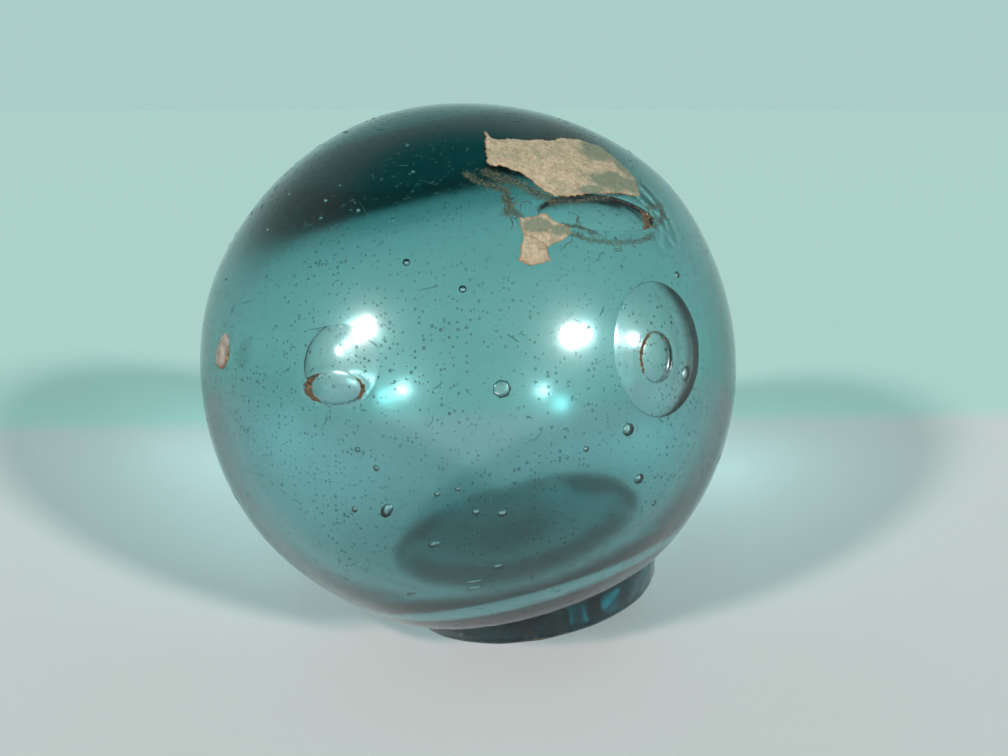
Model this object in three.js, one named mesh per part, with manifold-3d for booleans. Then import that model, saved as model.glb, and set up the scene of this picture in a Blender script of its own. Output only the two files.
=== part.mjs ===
import * as THREE from 'three';
import { mergeVertices } from 'three/addons/utils/BufferGeometryUtils.js';
import Module from 'manifold-3d';

// A hand-blown glass net float. Millimetres, +Z up, front towards -Y.
// It lies loose and leans on the button of darker glass that closes its blowing hole.

const ballRadius = 50;
const ballSplits = 15; // how often each edge of the icosahedron is split
const pieceGap = 0.3; // clear gap between pieces that touch

// Where the blown wall swells (+) or was flattened (-) off the true ball.
// rise is in mm, and spread is the angle in degrees at which the swelling has faded to a third.
const unevenness = [
  { azimuth: 84, elevation: 44, rise: 0.65, spread: 13 }, // shoulder, upper right
  { azimuth: 100, elevation: 85, rise: -0.6, spread: 20 }, // crown
  { azimuth: -78, elevation: 19, rise: 0.35, spread: 14 }, // left cheek
  { azimuth: -40, elevation: -46, rise: -0.6, spread: 18 }, // lower left flank
];

// Wall blisters that broke open, as shallow bowls: half-sizes across and up, and depth. turn is in degrees.
const openBlisters = [
  { azimuth: 33, elevation: 43, halfWidth: 10.6, halfHeight: 3.3, depth: 0.8, turn: -9 },
  { azimuth: -24, elevation: 13, halfWidth: 4.9, halfHeight: 2.4, depth: 1.2, turn: 6 },
  { azimuth: 35, elevation: 16, halfWidth: 3.2, halfHeight: 3.8, depth: 1.1, turn: -12 },
];
const bowlSplits = 5;

// The button of glass: a flattened gather pressed on around the hole, leaning from straight down.
const seal = {
  azimuth: 72, // the way it leans
  lean: 14.5, // degrees from straight down
  rimRadius: 25.3,
  footSpread: 1.3, // how much wider it is where it meets the ball
  footAngle: 33, // from its axis, as seen from the ball's centre
  edgeRound: 1.25,
  sideBulge: 0.4,
  thickBack: 3.2, // its underside is a dome whose centre is off the ball's, by this much to the back
  thickUp: 3.5, // and by this much to the side that lifts, so that side is thicker
};
// Pressing the button on flattened the soft ball around it: by depth, within start degrees of the axis,
// fading in over width degrees.
const pressedNeck = { depth: 4.2, start: 43, width: 12 };
// The rim is not round: its lobes as shares of its radius, and where around it the first one peaks.
const rimWaves = [
  { lobes: 1, height: 0.041, peak: 93 },
  { lobes: 2, height: 0.015, peak: 105 },
  { lobes: 3, height: 0.005, peak: 35 },
  { lobes: 7, height: 0.004, peak: 5 },
];
// Bites out of the rim: where around it, how deep in mm, and how wide in degrees.
const rimChips = [
  { at: 166, depth: 0.8, width: 4 },
  { at: 147, depth: 1, width: 4 },
  { at: 62, depth: 1.1, width: 6 },
  { at: -20, depth: 0.9, width: 5 },
];
const sealSegments = 64;

// The float stands on a small flat worn on the button. It starts at flatReach on the low side of the spot
// straight under the ball's centre.
const standHeight = 51.3;
const flatReach = 7;

// Remnants of a paper label. Each outline is in mm across and up from its own centre on the ball.
const paperThickness = 0.5;
const labelScraps = [
  {
    name: 'label_scrap_upper',
    azimuth: 32,
    elevation: 53,
    outline: [
      [-13.8, 2.8], [-9, 1.1], [-5, -4], [3, -2.2], [8, -2], [10.8, -7.2], [14, -6.8], [17.3, -1],
      [14.5, 4], [13, 7], [8, 6.8], [0, 7.8], [-5, 10], [-9.9, 11.3], [-12, 6.7],
    ],
  },
  {
    name: 'label_scrap_lower',
    azimuth: 17,
    elevation: 39,
    outline: [
      [-4.4, 4.6], [-1, 2.9], [2, 2.8], [5.4, 0.3], [5.7, -1.2], [2.2, -4], [-2.3, -3.8], [-5.5, -2.6],
      [-2.7, -0.8], [-3.2, 0.8],
    ],
  },
];
const scrapReach = 20; // radius of the curved sheet that a scrap is torn from
const scrapRings = 7;
const scrapSegments = 30;

const wasm = await Module();
wasm.setup();

const radians = THREE.MathUtils.degToRad;

// Unit vector at an azimuth (from the front towards +X) and an elevation, both in degrees.
function outward(azimuth, elevation) {
  const across = Math.cos(radians(elevation));
  return new THREE.Vector3(
    Math.sin(radians(azimuth)) * across,
    -Math.cos(radians(azimuth)) * across,
    Math.sin(radians(elevation)),
  );
}

// Axes on the ball's skin: x runs right along the skin, y up it, and z straight out.
function skinAxes(azimuth, elevation) {
  const out = outward(azimuth, elevation);
  const right = new THREE.Vector3(Math.cos(radians(azimuth)), Math.sin(radians(azimuth)), 0);
  const up = new THREE.Vector3().crossVectors(out, right);
  return new THREE.Matrix4().makeBasis(right, up, out);
}

// Distance from the centre to the blown skin along a unit vector.
function blownRadius(direction) {
  let radius = ballRadius;
  for (const { azimuth, elevation, rise, spread } of unevenness) {
    const away = direction.angleTo(outward(azimuth, elevation)) / radians(spread);
    radius += rise * Math.exp(-away * away);
  }
  const fromSeal = direction.angleTo(outward(seal.azimuth, seal.lean - 90));
  const { depth, start, width } = pressedNeck;
  return radius - depth * THREE.MathUtils.smoothstep(radians(start) - fromSeal, 0, radians(width));
}

// three.js geometry to a closed solid.
function solidOf(geometry) {
  const bare = geometry.clone();
  bare.deleteAttribute('normal');
  bare.deleteAttribute('uv');
  const merged = mergeVertices(bare, 1e-4);
  return new wasm.Manifold(
    new wasm.Mesh({
      numProp: 3,
      vertProperties: new Float32Array(merged.attributes.position.array),
      triVerts: new Uint32Array(merged.index.array),
    }),
  );
}

// Closed solid back to three.js geometry.
function geometryOf(solid) {
  const mesh = solid.getMesh();
  const geometry = new THREE.BufferGeometry();
  geometry.setAttribute('position', new THREE.BufferAttribute(mesh.vertProperties, 3));
  geometry.setIndex(new THREE.BufferAttribute(mesh.triVerts, 1));
  geometry.computeVertexNormals();
  return geometry;
}

// Closed skin over rings of points, capped by a single point at each end.
// pointAt(ring, segment) gives each place, and rings 0 and last are the two end points.
function ringedGeometry(ringCount, segmentCount, pointAt) {
  const places = [];
  const faces = [];
  const last = ringCount - 1;
  const indexOf = (ring, segment) => {
    if (ring === 0) return 0;
    if (ring === last) return 1 + (last - 1) * segmentCount;
    return 1 + (ring - 1) * segmentCount + (segment % segmentCount);
  };
  for (let ring = 0; ring <= last; ring += 1) {
    const count = ring === 0 || ring === last ? 1 : segmentCount;
    for (let segment = 0; segment < count; segment += 1) places.push(...pointAt(ring, segment).toArray());
  }
  for (let ring = 0; ring < last; ring += 1) {
    for (let segment = 0; segment < segmentCount; segment += 1) {
      const a = indexOf(ring, segment);
      const b = indexOf(ring, segment + 1);
      const c = indexOf(ring + 1, segment + 1);
      const d = indexOf(ring + 1, segment);
      if (a !== b) faces.push(a, b, c);
      if (c !== d) faces.push(a, c, d);
    }
  }
  const geometry = new THREE.BufferGeometry();
  geometry.setAttribute('position', new THREE.Float32BufferAttribute(places, 3));
  geometry.setIndex(faces);
  return geometry;
}

// The blown ball: a ball whose skin follows blownRadius, with the open blisters scooped out.
function glassBall() {
  const skin = new THREE.IcosahedronGeometry(1, ballSplits);
  const places = skin.attributes.position;
  const place = new THREE.Vector3();
  for (let i = 0; i < places.count; i += 1) {
    place.fromBufferAttribute(places, i).normalize();
    place.multiplyScalar(blownRadius(place));
    places.setXYZ(i, place.x, place.y, place.z);
  }
  let ball = solidOf(skin);
  for (const blister of openBlisters) {
    const bowl = new THREE.IcosahedronGeometry(1, bowlSplits);
    const middle = outward(blister.azimuth, blister.elevation);
    bowl.scale(blister.halfWidth, blister.halfHeight, blister.depth);
    bowl.rotateZ(radians(blister.turn));
    bowl.applyMatrix4(skinAxes(blister.azimuth, blister.elevation));
    bowl.translate(...middle.multiplyScalar(blownRadius(middle)).toArray());
    ball = ball.subtract(solidOf(bowl));
  }
  return geometryOf(ball);
}

// Rim radius of the button at an angle around it: its waves, less its chips.
function rimRadiusAt(around) {
  let radius = seal.rimRadius;
  for (const { lobes, height, peak } of rimWaves) {
    radius += seal.rimRadius * height * Math.cos(lobes * (around - radians(peak)));
  }
  for (const { at, depth, width } of rimChips) {
    const away = Math.atan2(Math.sin(around - radians(at)), Math.cos(around - radians(at)));
    radius -= depth * Math.exp(-((away / radians(width)) ** 2));
  }
  return radius;
}

// Distance along the button's axis to its underside, a dome that meets the ground where the flat starts.
function undersideDepth(back, up) {
  const [backAxis, upAxis] = [new THREE.Vector3(), new THREE.Vector3()];
  skinAxes(seal.azimuth, seal.lean - 90).extractBasis(backAxis, upAxis, new THREE.Vector3());
  const centre = backAxis.multiplyScalar(seal.thickBack).addScaledVector(upAxis, seal.thickUp);
  const domeRadius = centre.distanceTo(new THREE.Vector3(-flatReach, 0, -standHeight));
  return Math.sqrt(domeRadius ** 2 - (back - seal.thickBack) ** 2 - (up - seal.thickUp) ** 2);
}

// The button's section at an angle around it, as [radius, distance along its axis],
// from its foot on the ball, down its bulging side and round its edge, then in over its domed underside.
function sealSection(around) {
  const rim = rimRadiusAt(around);
  const scale = rim / seal.rimRadius;
  const foot = seal.footAngle * scale;
  const domeDepth = (radius) => undersideDepth(radius * Math.cos(around), radius * Math.sin(around));
  const edge = rim - seal.edgeRound;
  const sideTop = (ballRadius - pressedNeck.depth + pieceGap) * Math.cos(radians(foot));
  const sideEnd = domeDepth(edge) - seal.edgeRound;
  const section = [];
  for (const step of [1 / 3, 2 / 3, 1]) {
    const bulge = seal.sideBulge * Math.sin(Math.PI * step);
    section.push([rim + seal.footSpread * (1 - step) + bulge, sideTop + (sideEnd - sideTop) * step]);
  }
  for (const turn of [30, 60, 90]) {
    section.push([
      edge + seal.edgeRound * Math.cos(radians(turn)),
      sideEnd + seal.edgeRound * Math.sin(radians(turn)),
    ]);
  }
  for (const share of [0.85, 0.68, 0.51, 0.34, 0.17]) {
    section.push([edge * share, domeDepth(edge * share)]);
  }
  return { foot, section };
}

// The button: rings out over the ball's skin to its foot, then along the section to the underside's middle.
function sealButton() {
  const axes = skinAxes(seal.azimuth, seal.lean - 90);
  const seatRings = 6;
  const sectionLength = sealSection(0).section.length;
  const ringCount = 1 + seatRings + sectionLength + 1;
  const pointAt = (ring, segment) => {
    const around = (2 * Math.PI * segment) / sealSegments;
    const { foot, section } = sealSection(around);
    const point = new THREE.Vector3();
    if (ring === ringCount - 1) {
      point.set(0, 0, undersideDepth(0, 0));
    } else if (ring <= seatRings) {
      const angle = radians((foot * ring) / seatRings);
      point.set(Math.sin(angle) * Math.cos(around), Math.sin(angle) * Math.sin(around), Math.cos(angle));
      const direction = point.clone().applyMatrix4(axes);
      point.multiplyScalar(blownRadius(direction) + pieceGap);
    } else {
      const [radius, depth] = section[ring - seatRings - 1];
      point.set(radius * Math.cos(around), radius * Math.sin(around), depth);
    }
    return point.applyMatrix4(axes);
  };
  const button = solidOf(ringedGeometry(ringCount, sealSegments, pointAt));
  const ground = new THREE.BoxGeometry(4 * ballRadius, 4 * ballRadius, ballRadius);
  ground.translate(0, 0, -standHeight - ballRadius / 2);
  return geometryOf(button.subtract(solidOf(ground)));
}

// One label scrap: a thin curved sheet over the skin, cut to its torn outline.
function labelScrap({ azimuth, elevation, outline }) {
  const axes = skinAxes(azimuth, elevation);
  const ringCount = 2 * scrapRings + 2;
  const sheetPoint = (ring, segment) => {
    const outer = ring > scrapRings;
    const step = outer ? ringCount - 1 - ring : ring;
    const angle = (scrapReach * step) / scrapRings / ballRadius;
    const around = (2 * Math.PI * segment) / scrapSegments;
    const point = new THREE.Vector3(
      Math.sin(angle) * Math.cos(around),
      Math.sin(angle) * Math.sin(around),
      Math.cos(angle),
    ).applyMatrix4(axes);
    return point.multiplyScalar(blownRadius(point) + pieceGap + (outer ? paperThickness : 0));
  };
  const sheet = solidOf(ringedGeometry(ringCount, scrapSegments, sheetPoint));
  const torn = new THREE.Shape(outline.map(([across, up]) => new THREE.Vector2(across, up)));
  const cutter = new THREE.ExtrudeGeometry(torn, { depth: ballRadius, bevelEnabled: false });
  cutter.translate(0, 0, ballRadius / 2);
  cutter.applyMatrix4(axes);
  return geometryOf(sheet.intersect(solidOf(cutter)));
}

const ballGlass = new THREE.MeshStandardMaterial({ color: 0x5f9f9b, roughness: 0.08, metalness: 0 });
const sealGlass = new THREE.MeshStandardMaterial({ color: 0x1f5a58, roughness: 0.15, metalness: 0 });
const agedPaper = new THREE.MeshStandardMaterial({ color: 0xa98b62, roughness: 0.9, metalness: 0 });

function piece(name, geometry, material) {
  const mesh = new THREE.Mesh(geometry, material);
  mesh.name = name;
  return mesh;
}

const glassFloat = new THREE.Group();
glassFloat.add(piece('glass_ball', glassBall(), ballGlass));
glassFloat.add(piece('seal_button', sealButton(), sealGlass));
for (const scrap of labelScraps) {
  glassFloat.add(piece(scrap.name, labelScrap(scrap), agedPaper));
}
glassFloat.position.z = standHeight; // the pieces are built about the ball's centre

const part = new THREE.Group();
part.add(glassFloat);

export default part;
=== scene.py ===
# A hand-blown glass net float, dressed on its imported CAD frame.
# Shapes are worked out in millimetres about the ball's centre and turned to metres in meshPiece().
import math

import bpy
import numpy as np
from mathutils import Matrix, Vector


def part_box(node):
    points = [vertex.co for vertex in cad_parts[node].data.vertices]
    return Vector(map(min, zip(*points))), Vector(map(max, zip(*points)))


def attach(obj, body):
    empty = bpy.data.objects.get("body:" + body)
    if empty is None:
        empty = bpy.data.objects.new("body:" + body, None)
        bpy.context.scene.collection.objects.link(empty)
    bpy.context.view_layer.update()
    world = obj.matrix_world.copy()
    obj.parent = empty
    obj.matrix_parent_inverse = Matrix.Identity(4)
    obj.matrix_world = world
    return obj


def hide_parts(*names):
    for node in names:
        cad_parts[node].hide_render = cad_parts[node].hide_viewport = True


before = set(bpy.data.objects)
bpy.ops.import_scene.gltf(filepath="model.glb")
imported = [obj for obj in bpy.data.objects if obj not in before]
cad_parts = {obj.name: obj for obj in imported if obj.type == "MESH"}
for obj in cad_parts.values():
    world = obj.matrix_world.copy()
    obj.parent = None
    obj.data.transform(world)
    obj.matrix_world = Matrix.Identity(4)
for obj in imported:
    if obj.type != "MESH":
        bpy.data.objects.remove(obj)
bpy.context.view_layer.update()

mm = 0.001
ballLow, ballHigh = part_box("glass_ball")
ballRadius = round((ballHigh.y - ballLow.y) / 2 / mm, 1)
standHeight = 1.026 * ballRadius  # of the ball's centre, over the flat it stands on
rng = np.random.default_rng(7)
print("frame loaded, ball radius", ballRadius, "mm")


def toLinear(hexColour):
    # sRGB hex to linear RGBA: each channel to the power 2.4 after an offset of 0.055
    parts = np.array([int(hexColour[i:i + 2], 16) for i in (1, 3, 5)]) / 255
    linear = np.where(parts <= 0.04045, parts / 12.92, ((parts + 0.055) / 1.055) ** 2.4)
    return (*linear.tolist(), 1.0)


def addNode(tree, kind, inputs=None, **settings):
    # one node: its settings by name, and each input a plain value, a hex colour, another node, whose first
    # output is linked, or one of its outputs
    node = tree.nodes.new("ShaderNode" + kind)
    for name, value in settings.items():
        setattr(node, name, value)
    for name, value in (inputs or {}).items():
        if isinstance(value, bpy.types.Node):
            value = value.outputs[0]
        if isinstance(value, bpy.types.NodeSocket):
            tree.links.new(value, node.inputs[name])
        else:
            node.inputs[name].default_value = toLinear(value) if isinstance(value, str) else value
    return node


def newMaterial(name):
    # an empty node material, its tree, and the place on the object in metres
    material = bpy.data.materials.new(name)
    material.use_nodes = True
    material.node_tree.nodes.clear()
    return material, material.node_tree, addNode(material.node_tree, "TexCoord").outputs["Object"]


def attributeValue(tree, name):
    return addNode(tree, "Attribute", attribute_name=name).outputs["Fac"]


def mixedColour(tree, share, first, second):
    # the first colour turning into the second by a share
    return addNode(tree, "MixRGB", {"Fac": share, "Color1": first, "Color2": second})


def roughPatch(tree, noise, amount, limit, soft):
    # where an attribute and a noise together pass the limit, over a soft edge
    total = addNode(tree, "Math", {0: amount, 1: noise}, operation="ADD")
    return addNode(tree, "MapRange", {"Value": total, "From Min": limit, "From Max": limit + soft})


def mattSurface(tree, colour, roughness, relief, strength, depth):
    # a matt surface, with a relief of that depth in mm
    bump = addNode(tree, "Bump", {"Strength": strength, "Distance": depth * mm, "Height": relief})
    cover = addNode(tree, "BsdfPrincipled", {"Base Color": colour, "Roughness": roughness, "Normal": bump})
    addNode(tree, "OutputMaterial", {"Surface": cover})


def placeObject(name, data):
    # a new object in the scene, of that mesh, lamp or camera
    thing = bpy.data.objects.new(name, data)
    bpy.context.scene.collection.objects.link(thing)
    return thing


def smoothStep(values, low, high):
    # 0 below low, 1 above high, an S curve 3t^2 - 2t^3 between
    t = np.clip((values - low) / (high - low), 0, 1)
    return t * t * (3 - 2 * t)


def outward(azimuth, elevation):
    # unit vector at an azimuth (degrees from the front towards +X) and an elevation
    a, e = np.radians(azimuth), np.radians(elevation)
    return np.stack([np.sin(a) * np.cos(e), -np.cos(a) * np.cos(e), np.sin(e) + 0 * a], axis=-1)


def skinAxes(azimuth, elevation):
    # rows: right along the skin, up it, and straight out
    a, out = math.radians(azimuth), outward(azimuth, elevation)
    right = np.array([math.cos(a), math.sin(a), 0.0])
    return np.stack([right, np.cross(out, right), out])


def unitLength(vectors):
    return vectors / np.linalg.norm(vectors, axis=-1, keepdims=True)


def sphereUnit(polar, turn):
    # unit vectors at a polar angle from the third axis and a turn around it, both in radians
    return np.stack([np.sin(polar) * np.cos(turn), np.sin(polar) * np.sin(turn), np.cos(polar)], axis=-1)


def sphereAngles(rings, turns):
    # a grid of polar angles from pole to pole, and of turns around
    return np.meshgrid(np.linspace(0, np.pi, rings), np.arange(turns) * 2 * np.pi / turns, indexing="ij")


def turnBetween(around, middle):
    # degrees from a middle to an angle around, the short way
    return (around - middle + 180) % 360 - 180


def angleBetween(directions, axis):
    # degrees between unit vectors and one axis
    return np.degrees(np.arccos(np.clip(directions @ axis, -1, 1)))


def wavyNoise(points, scale, seed, octaves=3):
    # smooth noise of about -1..1: sums of sines of the point along random directions, finer and weaker
    draw = np.random.default_rng(seed)
    total = np.zeros(points.shape[:-1])
    for octave in range(octaves):
        for _ in range(5):
            wave = draw.normal(size=3) / scale * 2.0 ** octave
            total += np.sin(points @ wave + draw.uniform(0, 2 * np.pi)) * 0.5 ** octave
    return total / 5


def closedRings(points):
    # vertices and triangles of rings of points, (ring, turn, 3), closed by a single point at each end
    rings, turns = points.shape[:2]
    vertices = np.concatenate([points[:1, 0], points[1:-1].reshape(-1, 3), points[-1:, 0]])
    ring, turn = np.meshgrid(np.arange(rings - 1), np.arange(turns), indexing="ij")

    def number(r, t):
        inside = 1 + (r - 1) * turns + t % turns
        return np.where(r == 0, 0, np.where(r == rings - 1, len(vertices) - 1, inside))

    a, b = number(ring, turn), number(ring, turn + 1)
    c, d = number(ring + 1, turn + 1), number(ring + 1, turn)
    faces = np.concatenate([
        np.stack([a, c, b], axis=-1)[ring > 0],
        np.stack([a, d, c], axis=-1)[ring < rings - 2],
    ])
    return vertices, faces


def plainMesh(name, vertices, faces):
    mesh = bpy.data.meshes.new(name)
    mesh.from_pydata(vertices.tolist(), [], faces.tolist())
    return mesh


def meshPiece(name, shells, material, attributes=None):
    # one object from shells of (vertices in mm about the ball's centre, triangles)
    counts = np.cumsum([0] + [len(v) for v, _ in shells])
    vertices = np.concatenate([v for v, _ in shells])
    faces = np.concatenate([f + start for (_, f), start in zip(shells, counts)])
    mesh = plainMesh(name, (vertices + np.array([0, 0, standHeight])) * mm, faces)
    mesh.polygons.foreach_set("use_smooth", np.ones(len(faces), bool))
    for attributeName, values in (attributes or {}).items():
        layer = mesh.attributes.new(attributeName, "FLOAT", "POINT")
        layer.data.foreach_set("value", np.asarray(values, np.float32))
    mesh.validate()
    mesh.materials.append(material)
    print(name, len(faces), "triangles")
    return placeObject(name, mesh)


blownSkin = {
    # soft bumps of the hand-blown wall: azimuth, elevation, rise in mm, spread in degrees
    "unevenness": [(84, 44, 0.65, 13), (100, 85, -0.6, 20), (-78, 19, 0.35, 14), (-40, -46, -0.6, 18)],
    "neckDepth": 4.2,  # the skin was pressed flat where the button went on
    "neckStart": 43.0,
    "neckWidth": 12.0,
    "ripple": 0.03,  # height of the faint waves left by rolling
    "rippleLength": 14.0,
    # pinched wrinkles beside the large blister: each a path of (azimuth, elevation)
    "wrinkles": [
        [(56, 47), (56.5, 44), (55, 40)], [(50.5, 46), (52, 43), (54.5, 40.5)],
        [(51.5, 39), (51.5, 37), (48, 35)], [(54.5, 38.5), (52.5, 35.5)],
    ],
    "bowlFlatness": 0.35,  # a broken blister's floor is nearly flat up to its edge
    "lipHeight": 0.1,
    "wrinkleDepth": 0.08,
    "wrinkleWidth": 0.7,
    "rings": 194,
    "turns": 310,
}
sealAxis = {"azimuth": 72, "lean": 14.5}  # the way the button leans, and how far from straight down
sealFrame = skinAxes(sealAxis["azimuth"], sealAxis["lean"] - 90)

# blisters broken open at the skin: half sizes and depth in mm, turn in degrees
openBlisters = [
    {"azimuth": 33, "elevation": 43, "halfWidth": 10.6, "halfHeight": 3.3, "depth": 0.8, "turn": -9},
    {"azimuth": -24, "elevation": 13, "halfWidth": 4.9, "halfHeight": 2.4, "depth": 0.55, "turn": 6},
    {"azimuth": 35, "elevation": 16, "halfWidth": 3.2, "halfHeight": 3.8, "depth": 0.5, "turn": -12},
]
# flat bubbles closed in the wall: half sizes, half thickness and depth of the middle in mm, and the side,
# in degrees around from the right, where the edge is blunt; opposite it the bubble tapers away
closedBlisters = [
    {"azimuth": -24, "elevation": 16.6, "halfWidth": 6.3, "halfHeight": 6.3, "halfThick": 0.7,
     "depth": 1.9, "turn": 0, "rise": 0.1, "bluntSide": 165, "blunt": 1.7},
    {"azimuth": 38.5, "elevation": 17, "halfWidth": 9.6, "halfHeight": 10.7, "halfThick": 1.05,
     "depth": 2.1, "turn": -13, "rise": 0.3, "bluntSide": -12, "blunt": 1.0},
]

hollow = {
    "wall": 4.0,
    # thick end of the gather and thick end under the button: extra glass in mm, half width in degrees,
    # and how squarely it falls off
    "crown": {"azimuth": -95, "elevation": 77, "extra": 8.0, "reach": 33.0, "fall": 2.2},
    "floor": {"extra": 8.0, "reach": 33.0, "fall": 2},
    "sides": {"extra": 0.6, "reach": 38.0, "fall": 2},
    "rings": 90,
    "turns": 120,
}


def turned(x, y, degrees):
    # x and y turned to the left
    c, s = math.cos(math.radians(degrees)), math.sin(math.radians(degrees))
    return x * c - y * s, x * s + y * c


def fromLocal(spot, across, up):
    # directions of points that are mm across and up a spot's own axes
    axes = skinAxes(spot["azimuth"], spot["elevation"])
    x, y = turned(across, up, spot["turn"])
    flat = x[..., None] * axes[0] + y[..., None] * axes[1]
    out = np.sqrt(np.maximum(ballRadius ** 2 - (flat ** 2).sum(-1), 0))
    return (flat + out[..., None] * axes[2]) / ballRadius


def skinLocal(directions, spot):
    # a spot's own coordinates on the skin, in mm across and up it, turned with the spot
    axes = skinAxes(spot["azimuth"], spot["elevation"])
    across, up, out = (directions @ axes.T * ballRadius).transpose(-1, *range(directions.ndim - 1))
    return *turned(across, up, -spot["turn"]), out


def roundness(directions, spot):
    # 0 at the spot's middle, 1 on its elliptical edge, large behind the ball
    across, up, out = skinLocal(directions, spot)
    share = np.hypot(across / spot["halfWidth"], up / spot["halfHeight"])
    return np.where(out > 0, share, 99.0)


def pathDistance(points, path):
    # mm from each point to the nearest straight piece of a path of (azimuth, elevation) on the skin
    corners = outward(*np.array(path, float).T) * ballRadius
    nearest = np.full(points.shape[:-1], 99.0)
    for start, end in zip(corners[:-1], corners[1:]):
        along = end - start
        share = np.clip((points - start) @ along / (along @ along), 0, 1)
        nearest = np.minimum(nearest, np.linalg.norm(points - start - share[..., None] * along, axis=-1))
    return nearest


def softSkinRadius(directions):
    # the ball's radius, plus a bell for each bump, less the pressed neck
    radius = np.full(directions.shape[:-1], float(ballRadius))
    for azimuth, elevation, rise, spread in blownSkin["unevenness"]:
        away = angleBetween(directions, outward(azimuth, elevation)) / spread
        radius += rise * np.exp(-away ** 2)
    fromSeal = angleBetween(directions, sealFrame[2])
    pressed = smoothStep(blownSkin["neckStart"] - fromSeal, 0, blownSkin["neckWidth"])
    return radius - blownSkin["neckDepth"] * pressed


def skinRadius(directions):
    # the soft skin, plus faint waves, a low dome over each closed blister, a bowl with a lip at each open
    # one, and a groove between two soft ridges along each wrinkle
    radius = softSkinRadius(directions)
    radius += blownSkin["ripple"] * wavyNoise(directions * ballRadius, blownSkin["rippleLength"], 3, 2)
    for blister in closedBlisters:
        share = roundness(directions, blister)
        radius += blister["rise"] * np.clip(1 - share ** 2, 0, 1) ** 1.5
    for blister in openBlisters:
        share = roundness(directions, blister)
        bowl = np.clip(1 - share ** 2, 0, 1) ** blownSkin["bowlFlatness"]
        lip = blownSkin["lipHeight"] * np.exp(-((share - 1.07) / 0.06) ** 2)
        radius += lip - blister["depth"] * bowl
    for path in blownSkin["wrinkles"]:
        off = pathDistance(directions * ballRadius, path) / blownSkin["wrinkleWidth"]
        radius += blownSkin["wrinkleDepth"] * (0.5 * np.exp(-(off - 1.8) ** 2) - np.exp(-off ** 2))
    return radius


def hollowRadius(directions):
    # in from the skin by the wall, and by a smooth heap of glass, e^-(angle/reach)^fall, at crown and floor
    crown = hollow["crown"]
    inner = softSkinRadius(directions) - hollow["wall"]
    heaps = [(crown, outward(crown["azimuth"], crown["elevation"])), (hollow["floor"], sealFrame[2])]
    heaps += [(hollow["sides"], outward(azimuth, 0)) for azimuth in (-90, 90)]
    for heap, axis in heaps:
        inner -= heap["extra"] * np.exp(-(angleBetween(directions, axis) / heap["reach"]) ** heap["fall"])
    return inner


def gatheredLines(count, low, high, peaks):
    # positions from low to high, closer together around each peak: (middle, spread, how much denser)
    fine = np.linspace(low, high, 4000)
    density = np.ones_like(fine)
    for middle, spread, gain in peaks:
        density += gain * np.exp(-((fine - middle) / spread) ** 2)
    total = np.concatenate([[0], np.cumsum((density[1:] + density[:-1]) / 2)])
    return np.interp(np.linspace(0, total[-1], count), total, fine)


def outerSkin():
    # skinRadius on a grid gathered at the blisters; near a bowl's edge the grid is pulled on to the edge
    azimuths = gatheredLines(blownSkin["turns"] + 1, -180, 180, [(-24, 8, 4.5), (38, 19, 4.5)])[:-1]
    polars = gatheredLines(blownSkin["rings"], 0, 180, [(75, 13, 4), (46, 10, 4), (158, 14, 0.5)])
    turn, polar = np.meshgrid(azimuths, polars)
    directions = outward(turn, 90 - polar)
    for blister in openBlisters:
        out = skinLocal(directions, blister)[2]
        share = roundness(directions, blister)
        reach = 0.9 / min(blister["halfWidth"], blister["halfHeight"])
        off = (share - 1) / reach
        pulled = (1 + reach * np.sign(off) * np.abs(off) ** 1.7) / np.maximum(share, 1e-6)
        middle = outward(blister["azimuth"], blister["elevation"]) * out[..., None] / ballRadius
        moved = middle + (directions - middle) * pulled[..., None]
        directions = unitLength(np.where((np.abs(off) < 1)[..., None], moved, directions))
    return closedRings(directions * skinRadius(directions)[..., None])


def innerSkin():
    # hollowRadius on a grid about the seal's axis
    azimuths = np.arange(hollow["turns"]) * 360 / hollow["turns"]
    polars = np.linspace(0, 180, hollow["rings"])
    turn, polar = np.meshgrid(np.radians(azimuths), np.radians(polars))
    directions = sphereUnit(polar, turn) @ sealFrame
    return closedRings(directions * hollowRadius(directions)[..., None])


def blisterVoid(blister):
    # a lens bent to the wall: an ellipsoid's rings laid over the skin at the blister's depth.
    # It rises as the cosine of the polar angle to a power that grows away from the blunt side.
    polar, turn = sphereAngles(32, 60)
    across = blister["halfWidth"] * np.sin(polar) * np.cos(turn)
    up = blister["halfHeight"] * np.sin(polar) * np.sin(turn)
    sharp = blister["blunt"] + 1.8 * (0.5 - 0.5 * np.cos(turn - math.radians(blister["bluntSide"])))
    rise = np.sign(np.cos(polar)) * np.abs(np.cos(polar)) ** sharp
    radius = ballRadius - blister["depth"] + blister["halfThick"] * rise
    return closedRings(fromLocal(blister, across, up) * radius[..., None])


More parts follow.
